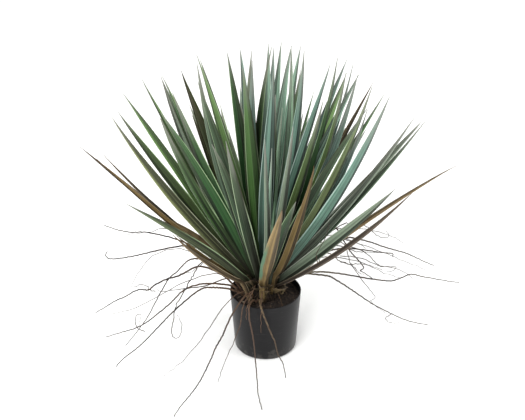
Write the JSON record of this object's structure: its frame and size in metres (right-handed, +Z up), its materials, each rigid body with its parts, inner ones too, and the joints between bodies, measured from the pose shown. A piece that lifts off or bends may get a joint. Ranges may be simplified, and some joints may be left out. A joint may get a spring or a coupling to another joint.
{
  "type": "potted agave",
  "caption": "Stiff rosette of sword-shaped leaves on a fibrous crown, with wiry trailing roots, standing in a plain round tapered pot.",
  "frame": {"origin": "centre of the pot's flat base, on the surface that it stands on", "axes": "+Z up along the pot's axis, -Y towards the viewer's side, +X to the viewer's right"},
  "size_m": [0.724, 0.6689, 0.636],
  "materials": {
    "pot_plastic": "smooth moulded charcoal plastic, semi-matte",
    "medium": "coarse dark bark mix with pale specks",
    "crown_fibre": "dry brown fibre",
    "leaf_green": "satin grey-green blade with fine lengthwise stripes and pale margins",
    "leaf_dry": "dry tan to taupe blade",
    "root_bark": "dry wiry root, brown near the crown and grey at the end"
  },
  "bodies": {
    "root": {"pot": "pot_plastic", "growing_medium": "medium", "crown": "crown_fibre", "inner_leaf_01": "leaf_green", "inner_leaf_02": "leaf_green", "inner_leaf_03": "leaf_green", "inner_leaf_04": "leaf_green", "inner_leaf_05": "leaf_green", "inner_leaf_06": "leaf_green", "inner_leaf_07": "leaf_green", "middle_leaf_01": "leaf_green", "middle_leaf_02": "leaf_green", "middle_leaf_03": "leaf_green", "middle_leaf_04": "leaf_green", "middle_leaf_05": "leaf_green", "middle_leaf_06": "leaf_green", "middle_leaf_07": "leaf_green", "middle_leaf_08": "leaf_green", "middle_leaf_09": "leaf_green", "middle_leaf_10": "leaf_green", "middle_leaf_11": "leaf_green", "middle_leaf_12": "leaf_green", "middle_leaf_13": "leaf_green", "middle_leaf_14": "leaf_green", "middle_leaf_15": "leaf_green", "middle_leaf_16": "leaf_green", "middle_leaf_17": "leaf_green", "middle_leaf_18": "leaf_green", "middle_leaf_19": "leaf_green", "outer_leaf_01": "leaf_green", "outer_leaf_02": "leaf_green", "outer_leaf_03": "leaf_green", "outer_leaf_04": "leaf_green", "outer_leaf_05": "leaf_green", "outer_leaf_06": "leaf_green", "outer_leaf_07": "leaf_green", "outer_leaf_08": "leaf_green", "outer_leaf_09": "leaf_green", "outer_leaf_10": "leaf_green", "outer_leaf_11": "leaf_green", "dry_leaf_01": "leaf_dry", "dry_leaf_02": "leaf_dry", "dry_leaf_03": "leaf_dry", "dry_leaf_04": "leaf_dry", "dry_leaf_05": "leaf_dry", "dry_leaf_06": "leaf_dry", "root_01": "root_bark", "root_02": "root_bark", "root_03": "root_bark", "root_04": "root_bark", "root_05": "root_bark", "root_06": "root_bark", "root_07": "root_bark", "root_08": "root_bark", "root_09": "root_bark", "root_10": "root_bark", "root_11": "root_bark", "root_12": "root_bark", "root_13": "root_bark", "root_14": "root_bark"}
  },
  "joints": []
}
